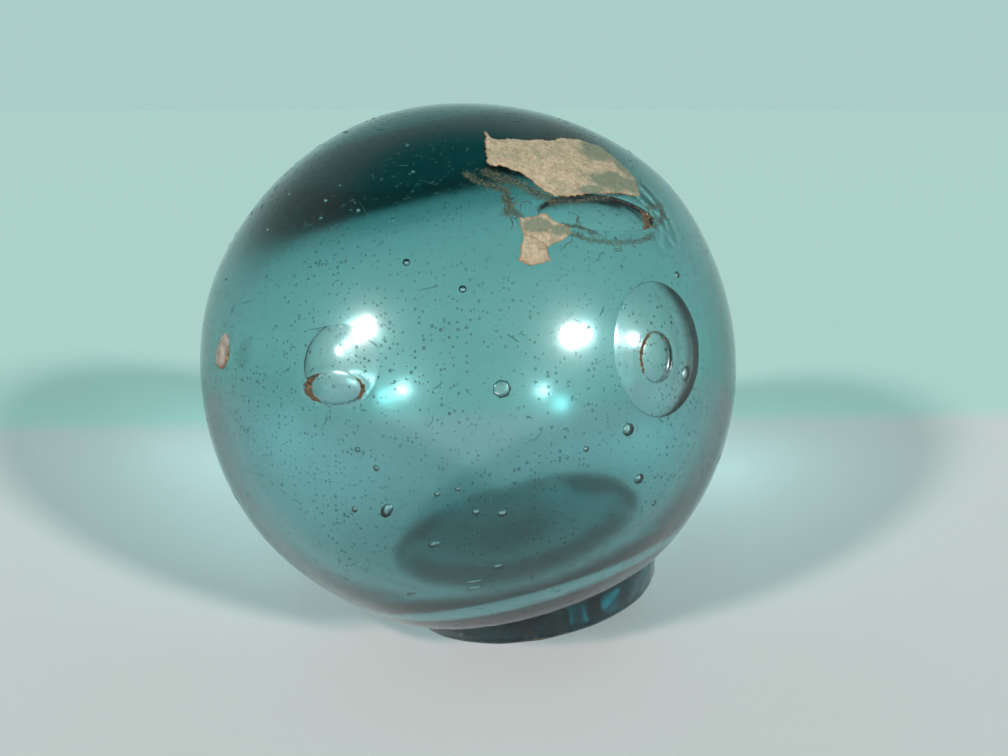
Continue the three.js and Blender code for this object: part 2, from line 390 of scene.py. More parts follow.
seeds = {
    # single bubbles: azimuth, elevation, half length, half width, half thickness in mm, turn in degrees
    "seen": [
        (5, 14, 1.4, 1.4, 0.2, 0), (28, 4.5, 1.1, 1.1, 0.6, 0), (31, -5.5, 0.95, 0.95, 0.6, 0),
        (36, -12, 0.55, 0.55, 0.4, 0), (-13, 35, 0.6, 0.6, 0.4, 0), (-1.5, 30.5, 0.6, 0.6, 0.4, 0),
        (-19.5, 3, 0.5, 0.45, 0.4, 0), (-6, -4, 0.5, 0.45, 0.4, 0), (-15, -8, 1.5, 0.9, 0.6, 60),
        (-21, -8.5, 0.65, 0.5, 0.4, 70), (-2.5, -3, 0.5, 0.4, 0.4, 0), (0.5, -7.5, 0.65, 0.5, 0.4, 10),
        (5, -8, 0.8, 0.6, 0.5, 20), (-7, -14.5, 1.1, 0.5, 0.4, 25), (4.5, -20, 0.9, 0.45, 0.4, 20),
        (0, -24, 1.5, 0.35, 0.3, 15), (0, -26, 1.5, 0.35, 0.3, 18), (-13, -28.5, 1.4, 0.35, 0.3, 40),
        (19.5, 2.5, 0.5, 0.5, 0.4, 0), (48.5, 29, 0.65, 0.6, 0.4, 0), (-40, 46, 0.5, 0.45, 0.4, 0),
        (-17, 54, 0.5, 0.45, 0.4, 0), (-57.5, 46, 0.5, 0.45, 0.4, 0), (-55.5, 38, 0.5, 0.45, 0.4, 0),
        (43, 11.5, 1.4, 1.0, 0.4, 60),
    ],
    "small": 330,
    "rings": 6,
    "turns": 7,
}


def bubbleShells(centres, along, side, out, sizes, rings, turns):
    # ellipsoids about each centre, with half sizes along their own three directions
    unit = sphereUnit(*sphereAngles(rings, turns))
    return [closedRings(unit @ (np.stack(axes) * size[:, None]) + centre)
            for centre, size, *axes in zip(centres, sizes, along, side, out)]


def seedVoids():
    # a listed few, and many small ones drawn out in circles around the seal's axis, clear of the
    # blisters; their sizes are lognormal, and they are stretched most near the button
    seen = np.array(seeds["seen"], float)
    polar = np.degrees(np.arccos(rng.uniform(-0.97, 0.97, seeds["small"])))
    small = sphereUnit(np.radians(polar), rng.uniform(0, 2 * np.pi, seeds["small"])) @ sealFrame
    clear = np.min([roundness(small, blister) for blister in openBlisters + closedBlisters], axis=0) > 1.15
    small, polar = small[clear], polar[clear]
    size = rng.lognormal(math.log(0.16), 0.45, len(small)).clip(0.07, 0.5)
    stretch = 1 + 2.2 * np.exp(-((polar - 30) / 28) ** 2) * rng.uniform(0.3, 1, len(small))
    sizes = np.concatenate([seen[:, 2:5], np.stack([size * stretch, size, size], axis=-1)])
    out = np.concatenate([outward(seen[:, 0], seen[:, 1]), small])
    right = unitLength(np.cross([0, 0, 1.0], out[:len(seen)]))
    a = np.radians(seen[:, 5])[:, None]
    along = unitLength(np.cross(sealFrame[2], out))
    along[:len(seen)] = right * np.cos(a) + np.cross(out[:len(seen)], right) * np.sin(a)
    depth = rng.uniform(0.35, 1, len(out)) * (hollow["wall"] - 2 * sizes[:, 2] - 0.6) + sizes[:, 2] + 0.3
    depth[:len(seen)] = sizes[:len(seen), 2] + 0.28
    centre = out * (softSkinRadius(out) - depth)[:, None]
    return bubbleShells(centre, along, np.cross(out, along), out, sizes, seeds["rings"], seeds["turns"])


# stuck to the skin: olive glue left by the label, and brown salt crust in the broken blisters' edges
stuckDirt = {
    # glue: path of (azimuth, elevation), half width in mm, strength
    "glue": [
        ([(-1, 53), (3, 51), (6, 50), (9.5, 49), (9.5, 46.5), (10, 44.5), (11.5, 43.5)], 0.55, 1.0),
        ([(8.5, 47.5), (10, 46), (8, 44)], 0.5, 0.9),
        ([(22, 41.5), (25.5, 41), (28.5, 39.5)], 0.5, 0.9),
        ([(22.5, 39.5), (26.5, 38), (32, 37), (40, 36.5), (46, 37)], 0.45, 0.8),
        ([(50, 42.5), (58.5, 42.5), (54.5, 40), (48, 38.5)], 0.5, 0.8),
        ([(5, 53.5), (8.5, 52), (13.5, 50.5), (17.5, 48), (21, 46.5)], 0.9, 0.9),
        ([(21, 46.5), (28, 46.2), (38, 46.2), (50, 46.5)], 0.5, 0.75),
    ],
    # crust on a broken blister's edge: which blister, middle and half width of the arc in degrees,
    # how far in from the edge it reaches as a share of the blister, strength
    "crust": [
        (0, -5, 35, 0.17, 0.9), (0, 90, 200, 0.018, 0.8), (1, 180, 62, 0.2, 1.1), (1, 2, 44, 0.14, 1.0),
        (1, 270, 60, 0.04, 0.85), (2, 165, 62, 0.26, 1.1), (2, 70, 40, 0.07, 0.85),
    ],
}


def glueAmount(directions):
    # the strongest bell around any of the glue's paths
    amount = np.zeros(directions.shape[:-1])
    for path, width, strength in stuckDirt["glue"]:
        off = pathDistance(directions * ballRadius, path) / (1.6 * width)
        amount = np.maximum(amount, strength * np.exp(-off ** 2))
    return amount


def crustAmount(directions):
    # a band inside a blister's edge, fading towards the arc's two ends
    amount = np.zeros(directions.shape[:-1])
    for which, middle, spread, reach, strength in stuckDirt["crust"]:
        blister = openBlisters[which]
        across, up, _ = skinLocal(directions, blister)
        around = np.degrees(np.arctan2(up / blister["halfHeight"], across / blister["halfWidth"]))
        away = np.abs(turnBetween(around, middle)) / spread
        band = reach * np.sqrt(np.clip(1 - away ** 2, 0, 1)) + 0.02
        off = (roundness(directions, blister) - 1.02 + band / 2) / band
        amount = np.maximum(amount, strength * np.exp(-(off / 0.75) ** 2) * (away < 1))
    return amount


glassLooks = {
    "ior": 1.46,
    "roughness": 0.125,
    "gloss": 0.3,  # worn glass mirrors less than a new surface
    "hazeWeight": 0.3,  # a film of fine wear that spreads a glow around the lamps
    "hazeRoughness": 0.32,
    # red, green and blue fade by density x (1 - absorption) for each metre of glass
    "absorption": (0.0, 0.575, 0.605),
    "density": 134.0,
    "shadow": 0.82,  # how much light its shadow lets through
    "speckCell": 0.6,
    "speckLargest": 0.32,
    "specks": 0.62,  # how dark the dirt in the pits is
}


def voronoiSpecks(tree, place, cell, largest):
    # round specks, one to a cell of the pattern: mostly tiny, a few near the largest (chance cubed)
    cells = addNode(tree, "TexVoronoi", {"Vector": place, "Scale": 1 / (cell * mm)}, feature="F1")
    chance = addNode(tree, "SeparateColor", {"Color": cells.outputs["Color"]})
    rare = addNode(tree, "Math", {0: chance.outputs["Red"], 1: 3.0}, operation="POWER")
    limit = addNode(tree, "Math", {0: rare, 1: largest / cell}, operation="MULTIPLY")
    edge = addNode(tree, "Math", {0: limit, 1: cells.outputs["Distance"]}, operation="SUBTRACT")
    return addNode(tree, "MapRange", {"Value": edge, "From Min": -0.02, "From Max": 0.05})


def glassSurface():
    # soda glass with some iron in it: clear sea green that deepens where it is thick.
    # Wear and salt leave a fine haze over it, dark specks in the pits, olive glue and a brown crust.
    material, tree, place = newMaterial("sea_green_blown_glass")
    fine = voronoiSpecks(tree, place, glassLooks["speckCell"], glassLooks["speckLargest"])
    patches = addNode(tree, "TexNoise", {"Vector": place, "Scale": 1 / (16 * mm), "Detail": 1.0})
    some = addNode(tree, "MapRange", {
        "Value": patches, "From Min": 0.35, "From Max": 0.65,
        "To Min": 0.25 * glassLooks["specks"], "To Max": glassLooks["specks"],
    })
    pits = addNode(tree, "Math", {0: fine, 1: some}, operation="MULTIPLY")
    grime = addNode(tree, "TexNoise", {"Vector": place, "Scale": 1 / (0.4 * mm), "Detail": 2.0})
    gluePatch = roughPatch(tree, grime, attributeValue(tree, "glue"), 0.9, 0.4)
    crustPatch = roughPatch(tree, grime, attributeValue(tree, "crust"), 1.2, 0.12)
    glueThin = addNode(tree, "Math", {0: gluePatch, 1: 0.8}, operation="MULTIPLY")
    stuck = addNode(tree, "Math", {0: glueThin, 1: crustPatch}, operation="MAXIMUM")
    marks = addNode(tree, "Math", {0: pits, 1: stuck}, operation="MAXIMUM")
    mask = addNode(tree, "Math", {0: marks, 1: attributeValue(tree, "outer")}, operation="MULTIPLY")
    grain = addNode(tree, "MapRange", {"Value": grime, "From Min": 0.36, "From Max": 0.68})
    pitOrGlue = mixedColour(tree, gluePatch, "#24494a", mixedColour(tree, grain, "#14201b", "#5f6450"))
    crustColour = mixedColour(tree, grain, "#120e0a", "#7d6044")
    dirtColour = mixedColour(tree, crustPatch, pitOrGlue, crustColour)
    glass = addNode(tree, "BsdfPrincipled", {
        "Base Color": (1, 1, 1, 1), "Transmission Weight": 1.0, "IOR": glassLooks["ior"],
        "Roughness": glassLooks["roughness"], "Specular IOR Level": glassLooks["gloss"],
        "Coat Weight": glassLooks["hazeWeight"], "Coat Roughness": glassLooks["hazeRoughness"],
    })
    dirt = addNode(tree, "BsdfPrincipled", {"Base Color": dirtColour, "Roughness": 0.8})
    surface = addNode(tree, "MixShader", {0: mask, 1: glass, 2: dirt})
    share = glassLooks["shadow"]
    through = addNode(tree, "BsdfTransparent", {"Color": (share, share, share, 1)})
    inShadow = addNode(tree, "LightPath").outputs["Is Shadow Ray"]
    both = addNode(tree, "MixShader", {0: inShadow, 1: surface, 2: through})
    depth = addNode(tree, "VolumeAbsorption", {
        "Color": (*glassLooks["absorption"], 1.0), "Density": glassLooks["density"],
    })
    addNode(tree, "OutputMaterial", {"Surface": both, "Volume": depth})
    return material


sealButton = {
    "rimRadius": 25.3,
    "footSpread": 1.3,  # wider where it meets the ball
    "footAngle": 33.0,  # from its axis
    "sunk": 1.0,  # its seat lies inside the ball's skin, so the two fuse
    "edgeRound": 1.25,
    "sideBulge": 0.4,
    "thickBack": 3.2,  # the underside's centre is off the ball's: to the back and to the side that lifts
    "thickUp": 3.5,
    "flatReach": 7.0,  # where the standing flat starts, on the low side of the ball's centre
    # rim lobes: number, share of the radius, where the first peaks (degrees around the axis)
    "waves": [(1, 0.041, 93), (2, 0.015, 105), (3, 0.005, 35), (7, 0.004, 5)],
    # bites out of the rim: where, depth in mm, width in degrees
    "chips": [(166, 0.8, 4), (147, 1.0, 4), (62, 1.1, 6), (-20, 0.9, 5)],
    "lumpHeight": 0.2,
    "lumpSize": 3.2,
    "lumpCentre": 42.0,  # lumps push out from here on its axis
    "turns": 264,
    "seatRings": 8,
    "sideRings": 14,
    "edgeRings": 8,
    "domeRings": 39,
    # dirt on its edge: angle around the axis and width in degrees, depth along the axis, height and
    # distance from the axis in mm
    "dirtSpot": {"around": 160, "width": 4.5, "depth": 46, "height": 1.2, "clear": 20},
    # bubbles caught in the joint, left and front, and thin cracked flakes inside its edge: the arc around
    # the axis in degrees; inset from the rim, drop below the ball's skin and half sizes in mm
    "caught": [
        {"count": 34, "arc": (186, 262), "inset": (0.9, 1.3), "drop": (2.3, 2.9), "size": (0.14, 0.34),
         "width": 1.0, "thickest": 1.0},
        {"count": 16, "arc": (175, 250), "inset": (1.6, 3.5), "drop": (3.5, 6.0), "size": (0.4, 1.0),
         "width": 0.5, "thickest": 0.03},
    ],
}


def sealRimRadius(around):
    # the rim's radius at an angle around: lobes as cosines, less a bell for each bite
    radius = np.full_like(around, sealButton["rimRadius"])
    for lobes, height, peak in sealButton["waves"]:
        radius += sealButton["rimRadius"] * height * np.cos(lobes * (around - math.radians(peak)))
    for at, depth, width in sealButton["chips"]:
        off = around - math.radians(at)
        away = np.arctan2(np.sin(off), np.cos(off))
        radius -= depth * np.exp(-(away / math.radians(width)) ** 2)
    return radius


def undersideDepth(back, up):
    # how far along the axis the underside is: a dome about an off-centre middle that meets the flat's edge
    middle = sealButton["thickBack"] * sealFrame[0] + sealButton["thickUp"] * sealFrame[1]
    flatEdge = np.array([-sealButton["flatReach"], 0, -standHeight])
    radius = np.linalg.norm(middle - flatEdge)
    return np.sqrt(radius ** 2 - (back - sealButton["thickBack"]) ** 2 - (up - sealButton["thickUp"]) ** 2)


def ringAt(around, radius, depth):
    # points around the seal's axis at that radius, and that far along it
    return np.stack([radius * np.cos(around), radius * np.sin(around), depth + 0 * around], axis=-1)


def sealShell():
    # rings over the ball's skin to the foot, down the bulging side, round the edge and in over the dome
    around = np.arange(sealButton["turns"]) * 2 * np.pi / sealButton["turns"]
    rim = sealRimRadius(around)
    foot = sealButton["footAngle"] * rim / sealButton["rimRadius"]
    edge = rim - sealButton["edgeRound"]

    def domeDepth(radius):
        return undersideDepth(radius * np.cos(around), radius * np.sin(around))

    rings = []
    for step in np.linspace(0, 1, sealButton["seatRings"]):
        local = sphereUnit(np.radians(foot * step), around)
        rings.append(local * (softSkinRadius(local @ sealFrame) - sealButton["sunk"])[:, None])
    footRadius = np.hypot(rings[-1][:, 0], rings[-1][:, 1])
    sideTop = rings[-1][:, 2]
    sideEnd = domeDepth(edge) - sealButton["edgeRound"]
    for step in np.linspace(0, 1, sealButton["sideRings"] + 1)[1:]:
        bulge = sealButton["sideBulge"] * math.sin(math.pi * step)
        spread = sealButton["footSpread"] * (1 - step) * min(1, step / 0.2)
        radius = footRadius + (rim - footRadius) * min(1, step / 0.3) + spread + bulge
        rings.append(ringAt(around, radius, sideTop + (sideEnd - sideTop) * step))
    for turn in np.radians(np.linspace(0, 90, sealButton["edgeRings"] + 1)[1:]):
        radius = edge + sealButton["edgeRound"] * math.cos(turn)
        rings.append(ringAt(around, radius, sideEnd + sealButton["edgeRound"] * math.sin(turn)))
    for share in np.linspace(1, 0, sealButton["domeRings"] + 1)[1:]:
        rings.append(ringAt(around, edge * share, domeDepth(edge * share)))
    points = np.stack(rings)
    lumps = wavyNoise(points, sealButton["lumpSize"], 11, 3) * sealButton["lumpHeight"]
    away = unitLength(points - np.array([0, 0, sealButton["lumpCentre"]]))
    free = (np.arange(len(points)) >= sealButton["seatRings"])[:, None]
    world = (points + away * (lumps * free)[..., None]) @ sealFrame
    world[..., 2] = np.maximum(world[..., 2], -standHeight)
    return closedRings(world)


def sealVoids():
    # a row of tiny bubbles along the joint, and flat flakes at all angles near the edge
    shells = []
    for kind in sealButton["caught"]:
        count = kind["count"]
        around = np.radians(np.linspace(*kind["arc"], count) + rng.uniform(-1, 1, count))
        radius = sealRimRadius(around) - rng.uniform(*kind["inset"], count)
        start = np.sqrt((ballRadius - blownSkin["neckDepth"]) ** 2 - radius ** 2)
        centres = ringAt(around, radius, start + rng.uniform(*kind["drop"], count)) @ sealFrame
        turns = np.linalg.qr(rng.normal(size=(count, 3, 3)))[0]
        turns *= np.sign(np.linalg.det(turns))[:, None, None]
        size = rng.uniform(*kind["size"], count)
        sizes = np.stack([size, size * kind["width"], np.minimum(size, kind["thickest"])], axis=-1)
        shells += bubbleShells(centres, *turns.transpose(1, 0, 2), sizes, 7, 9)
    return shells


def fusedSkin():
    # the ball's skin and the button in one closed shell, as the hot glass joined
    pair = []
    skin, (button, buttonFaces) = outerSkin(), sealShell()
    for name, (vertices, faces) in (("skin", skin), ("button", (button, buttonFaces[:, ::-1]))):
        pair.append(placeObject(name, plainMesh(name, vertices, faces)))
    fuse = pair[0].modifiers.new("fuse", "BOOLEAN")
    fuse.operation = "UNION"
    fuse.solver = "MANIFOLD"
    fuse.object = pair[1]
    fused = pair[0].evaluated_get(bpy.context.evaluated_depsgraph_get()).to_mesh()
    fused.calc_loop_triangles()
    vertices = np.empty(len(fused.vertices) * 3, np.float32)
    faces = np.empty(len(fused.loop_triangles) * 3, np.int32)
    fused.vertices.foreach_get("co", vertices)
    fused.loop_triangles.foreach_get("vertices", faces)
    for thing in pair:
        mesh = thing.data
        bpy.data.objects.remove(thing)
        bpy.data.meshes.remove(mesh)
    return vertices.reshape(-1, 3).astype(float), faces.reshape(-1, 3)


def glassFloat():
    # the fused skin and every void in it, with how much glue and crust lies on each point of the outside
    vertices, faces = fusedSkin()
    directions = unitLength(vertices)
    voids = [innerSkin()] + [blisterVoid(blister) for blister in closedBlisters] + seedVoids() + sealVoids()
    # the hollow's and bubbles' faces are turned to look into the void
    shells = [(vertices, faces)] + [(v, f[:, ::-1]) for v, f in voids]
    rest = np.zeros(sum(len(v) for v, _ in voids))
    local = vertices @ sealFrame.T
    dirt = sealButton["dirtSpot"]
    turn = turnBetween(np.degrees(np.arctan2(local[:, 1], local[:, 0])), dirt["around"]) / dirt["width"]
    spot = np.exp(-turn ** 2 - ((local[:, 2] - dirt["depth"]) / dirt["height"]) ** 2)
    spot *= np.hypot(local[:, 0], local[:, 1]) > dirt["clear"]
    ball = meshPiece("blown_ball", shells, glassSurface(), {
        "outer": np.concatenate([np.ones(len(vertices)), rest]),
        "glue": np.concatenate([glueAmount(directions), rest]),
        "crust": np.concatenate([np.maximum(crustAmount(directions), spot), rest]),
    })
    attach(ball, "root")
    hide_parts("glass_ball", "seal_button")


glassFloat()


def sheetShell(upper, lower):
    # a closed sheet from its upper and lower grids of points, (row, column, 3), joined all round the edge
    rows, columns = upper.shape[:2]
    number = np.arange(rows * columns).reshape(rows, columns)
    a, b, c, d = number[:-1, :-1], number[:-1, 1:], number[1:, 1:], number[1:, :-1]
    grid = np.stack([np.stack([a, b, c], axis=-1), np.stack([a, c, d], axis=-1)]).reshape(-1, 3)
    low = rows * columns
    edge = np.concatenate([number[0, :-1], number[:-1, -1], number[-1, :0:-1], number[:0:-1, 0]])
    ahead = np.roll(edge, -1)
    rim = np.concatenate([np.stack([edge, edge + low, ahead + low], axis=-1),
                          np.stack([edge, ahead + low, ahead], axis=-1)])
    vertices = np.concatenate([upper.reshape(-1, 3), lower.reshape(-1, 3)])
    return vertices, np.concatenate([grid, grid[:, ::-1] + low, rim])


# torn scraps of label paper: outlines in mm across and up the skin, upper and lower edge from left to right
largeScrap = {
    "azimuth": 32, "elevation": 53, "turn": 0,
    "upper": [(-10, 10.4), (-9.5, 9.4), (-6, 8.8), (-2.5, 8), (0, 7.6), (3.5, 8.3), (7, 8), (10, 6.7),
              (12, 4.5), (12.3, 2), (12.9, -1)],
    "lower": [(-13.4, 3.1), (-11.5, 2.8), (-9, 1), (-8, -1.7), (-7, -3.3), (-6, -4.7), (-3, -5.3),
              (0.5, -5.1), (4.5, -5.3), (8, -5.4), (11, -5.6)],
    "curl": 1.3,  # the left edge stands up
    "curlReach": 1.4,
    "crinkle": 0.2,
    # soaked grey-green patches: middle and half sizes in mm
    "soaked": [(8.5, 4.5, 4.8, 2.6), (7, -2.8, 6.5, 2.3), (1, -4.6, 3.5, 1.1), (12, 1, 2, 3)],
    "columns": 170,
    "rows": 84,
    "seed": 21,
}
smallScrap = {
    "azimuth": 17, "elevation": 39, "turn": 0,
    "upper": [(-3.7, 3.3), (-2, 3.3), (-0.4, 3.9), (0.5, 4.3), (1.3, 3.1), (2.1, 2.4), (3.5, 1.7),
              (3.8, 0.8)],
    "lower": [(-3.8, 1), (-3.6, 0.1), (-2.6, -0.6), (-0.8, -1.8), (0.8, -1.1), (2.7, -0.3), (3.6, 0.4)],
    "curl": 0.3,
    "curlReach": 0.8,
    "crinkle": 0.22,
    "soaked": [(-1.2, 2, 2.3, 1.4), (2.3, 1, 1.6, 0.9)],
    "columns": 80,
    "rows": 50,
    "seed": 22,
}
foldedScrap = {
    **smallScrap,
    "upper": [(-4, 0.4), (-2.4, -0.2), (-0.9, -1.2)],
    "lower": [(-5.3, -3.6), (-4.4, -4.2), (-3.1, -4.4), (-0.8, -4)],
    "curl": 0.5,
    "curlReach": 0.9,
    "crinkle": 0.3,
    "soaked": [],
    "columns": 50,
    "seed": 23,
}
paperThick = 0.13
raggedEdge, raggedEnd = 0.24, 0.25  # how far the torn edges and the two ends stray


def alongPath(path, count):
    # points evenly spaced along a path of straight pieces
    corners = np.array(path, float)
    length = np.concatenate([[0], np.cumsum(np.linalg.norm(np.diff(corners, axis=0), axis=-1))])
    where = np.linspace(0, length[-1], count)
    return np.stack([np.interp(where, length, corners[:, i]) for i in range(corners.shape[1])], axis=-1)


def scrapShell(scrap, lift=0.08):
    # rows from the lower to the upper edge, both made ragged; lifted by creases and a curl at the left,
    # and thinned to fibres at the torn edges. Also how near each point is to an edge, and how soaked it is.
    upper, lower = (alongPath(scrap[edge], scrap["columns"]) for edge in ("upper", "lower"))
    zero = np.zeros((scrap["columns"], 1))
    tear = [raggedEdge * wavyNoise(np.hstack([edge, zero + 9 * i]), 0.3, scrap["seed"] + i, 4)[:, None]
            for i, edge in enumerate((upper, lower))]
    v = np.linspace(0, 1, scrap["rows"])[:, None]
    u = np.linspace(0, 1, scrap["columns"])[None, :]
    across = unitLength(upper - lower)
    upper, lower = upper + across * tear[0], lower + across * tear[1]
    flat = lower[None] + (upper - lower)[None] * v[..., None]
    ends = wavyNoise(np.dstack([flat, 0 * flat[..., :1]]), 0.35, scrap["seed"] + 5, 3)
    flat[..., 0] += raggedEnd * ends * (np.exp(-u / 0.03) + np.exp(-(1 - u) / 0.03))
    width = np.linalg.norm(upper - lower, axis=-1)[None]
    length = np.linalg.norm(upper[-1] + lower[-1] - upper[0] - lower[0]) / 2
    toEdge = np.minimum(np.minimum(v, 1 - v) * width, np.minimum(u, 1 - u) * length)
    directions = fromLocal(scrap, flat[..., 0], flat[..., 1])
    points = directions * ballRadius
    crease = 1 - np.abs(wavyNoise(points, 2.6, scrap["seed"] + 7, 3)) * 1.6
    crumple = 1 - np.abs(wavyNoise(points, 0.8, scrap["seed"] + 8, 2)) * 1.6
    height = lift + scrap["crinkle"] * np.clip(crease + 0.3 * crumple, 0, 1.3)
    height += scrap["curl"] * np.exp(-u * length / scrap["curlReach"]) * (0.75 + 0.25 * np.cos(6 * v))
    radius = softSkinRadius(directions) + height
    thick = 0.025 + paperThick * smoothStep(toEdge, 0, 0.5)
    soaked = np.zeros_like(toEdge)
    for x, y, halfX, halfY in scrap["soaked"]:
        near = ((flat[..., 0] - x) / halfX) ** 2 + ((flat[..., 1] - y) / halfY) ** 2
        soaked = np.maximum(soaked, np.exp(-near))
    shell = sheetShell(directions * (radius + thick)[..., None], directions * radius[..., None])
    return shell, np.tile(np.exp(-toEdge / 0.45).ravel(), 2), np.tile(soaked.ravel(), 2)


def labelPaper():
    # old rag paper, tanned and water-stained: matt and fibrous, rusty where it tore
    material, tree, place = newMaterial("weathered_label_paper")
    fibres = addNode(tree, "TexNoise", {
        "Vector": place, "Scale": 1 / (0.7 * mm), "Detail": 6.0, "Roughness": 0.65, "Distortion": 1.2,
    })
    fibreTone = addNode(tree, "MapRange", {"Value": fibres, "From Min": 0.3, "From Max": 0.7})
    blotch = addNode(tree, "TexNoise", {"Vector": place, "Scale": 1 / (2.2 * mm), "Detail": 4.0})
    blotchMask = addNode(tree, "MapRange", {
        "Value": blotch, "From Min": 0.5, "From Max": 0.68, "To Max": 0.6,
    })
    wet = roughPatch(tree, blotch, attributeValue(tree, "soaked"), 0.72, 0.35)
    wetMask = addNode(tree, "Math", {0: wet, 1: 0.85}, operation="MULTIPLY")
    torn = roughPatch(tree, fibres, attributeValue(tree, "edge"), 1.1, 0.3)
    tornMask = addNode(tree, "Math", {0: torn, 1: 0.7}, operation="MULTIPLY")
    paper = mixedColour(tree, fibreTone, "#8a7358", "#d2bda4")
    blotched = mixedColour(tree, blotchMask, paper, "#8c8a72")
    stained = mixedColour(tree, wetMask, blotched, mixedColour(tree, fibres, "#3c4c42", "#8a937c"))
    mattSurface(tree, mixedColour(tree, tornMask, stained, "#94613c"), 0.88, fibres, 0.5, 0.12)
    return material


rustyPaper = labelPaper()


def scrapPiece(name, parts, node):
    # one torn scrap, of one or more sheets, in place of its CAD node
    shells, edges, soaks = zip(*parts)
    attributes = {"edge": np.concatenate(edges), "soaked": np.concatenate(soaks)}
    piece = meshPiece(name, shells, rustyPaper, attributes)
    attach(piece, "root")
    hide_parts(node)


scrapPiece("label_scrap_large", [scrapShell(largeScrap)], "label_scrap_upper")
scrapPiece("label_scrap_small", [scrapShell(smallScrap), scrapShell(foldedScrap, 0.3)], "label_scrap_lower")

strands = {
    "perPath": 9,  # paper fibres and threads of glue left along each of the glue's paths
    "fibreLength": (1.0, 3.6),
    "fibreRadius": (0.035, 0.09),
    "hairs": 280,  # hair-fine scratches filled with dirt
    "hairRadius": (0.045, 0.085),
    # the long ones: azimuth, elevation, heading in degrees, length in mm
    "longHairs": [(-50.5, -7.5, 10, 10.5), (-53, 23.3, 12, 5), (-29, 46.5, -45, 6), (-10, 30, 12, 3.5),
                  (-31, 22, 8, 4)],
    "longRadius": 0.055,
    "sides": 5,
    "steps": 9,
}


def anySeed():
    return int(rng.integers(1 << 30))


def strandShell(start, heading, length, radius, wander, lift, seed):
    # a thin tube that follows the skin: its heading (degrees) wanders, and its two ends come to points
    draw = np.random.default_rng(seed)
    turning = np.cumsum(draw.normal(size=strands["steps"]) * wander)
    axes = skinAxes(*start)
    step = length / (strands["steps"] - 1)
    headings = np.radians(heading + turning)
    x = np.concatenate([[0], np.cumsum(np.cos(headings[:-1]) * step)])
    y = np.concatenate([[0], np.cumsum(np.sin(headings[:-1]) * step)])
    centres = x[:, None] * axes[0] + y[:, None] * axes[1] + ballRadius * axes[2]
    out = unitLength(centres)
    centres = out * (skinRadius(out) + lift)[:, None]
    tangent = np.gradient(centres, axis=0)
    side = unitLength(np.cross(out, tangent))
    thick = radius * np.sin(np.linspace(0, np.pi, strands["steps"])) ** 0.4
    turn = np.arange(strands["sides"]) * 2 * np.pi / strands["sides"]
    ring = np.cos(turn)[None, :, None] * out[:, None] + np.sin(turn)[None, :, None] * side[:, None]
    return closedRings(centres[:, None] + ring * thick[:, None, None])


def plainDirt(name, dark, light, size, roughness):
    # a dull mix of two tones in grains of that size in mm
    material, tree, place = newMaterial(name)
    grain = addNode(tree, "TexNoise", {"Vector": place, "Scale": 1 / (size * mm), "Detail": 4.0})
    spread = addNode(tree, "MapRange", {"Value": grain, "From Min": 0.35, "From Max": 0.65})
    mattSurface(tree, mixedColour(tree, spread, dark, light), roughness, grain, 0.4, 0.05)
    return material


def gluedFibres():
    # short threads scattered about the glue's paths, olive and dull
    shells = []
    count = strands["perPath"]
    for path, _, _ in stuckDirt["glue"]:
        for start in alongPath(path, count) + rng.normal(size=(count, 2)) * 0.6:
            shells.append(strandShell(start, rng.uniform(0, 360), rng.uniform(*strands["fibreLength"]),
                                      rng.uniform(*strands["fibreRadius"]), 22, 0.05, anySeed()))
    material = plainDirt("olive_glued_fibres", "#1c2820", "#6c6c50", 0.7, 0.75)
    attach(meshPiece("label_fibres", shells, material), "root")


def scratchHairs():
    # dirt-filled hair scratches, mostly on the upper half, each run near level; the long ones are listed
    shells = []
    for azimuth, elevation, heading, length in strands["longHairs"]:
        radius = strands["longRadius"]
        shells.append(strandShell((azimuth, elevation), heading, length, radius, 4, 0.0, anySeed()))
    while len(shells) < strands["hairs"]:
        azimuth, elevation = rng.uniform(-180, 180), math.degrees(math.asin(rng.uniform(-0.6, 0.97)))
        if rng.uniform() > 0.35 + 0.65 * (elevation > 5) * (azimuth < 20):
            continue
        heading, length = rng.normal(15, 35), rng.lognormal(math.log(1.1), 0.5)
        radius = rng.uniform(*strands["hairRadius"])
        shells.append(strandShell((azimuth, elevation), heading, length, radius, 14, 0.0, anySeed()))
    piece = meshPiece("scratch_hairs", shells, plainDirt("scratch_dirt", "#1f4244", "#35605f", 0.5, 0.7))
    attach(piece, "root")


gluedFibres()
scratchHairs()

# leastReach: narrower arcs of crust hold no grains
crustGrains = {"perArc": 34, "size": (0.1, 0.26), "flatness": 0.55, "leastReach": 0.1}


def grainShell(direction, radius, size, flatness, seed, rings=7, turns=8):
    # one lumpy grain sat on the skin: an ellipsoid pushed in and out by noise
    unit = sphereUnit(*sphereAngles(rings, turns))
    lumpy = unit * (1 + 0.22 * wavyNoise(unit, 0.7, seed, 2))[..., None]
    right = unitLength(np.cross([0, 0, 1.0], direction))
    up = np.cross(direction, right)
    axes = np.stack([right * size[0], up * size[1], direction * min(size) * flatness])
    return closedRings(lumpy @ axes + direction * radius)


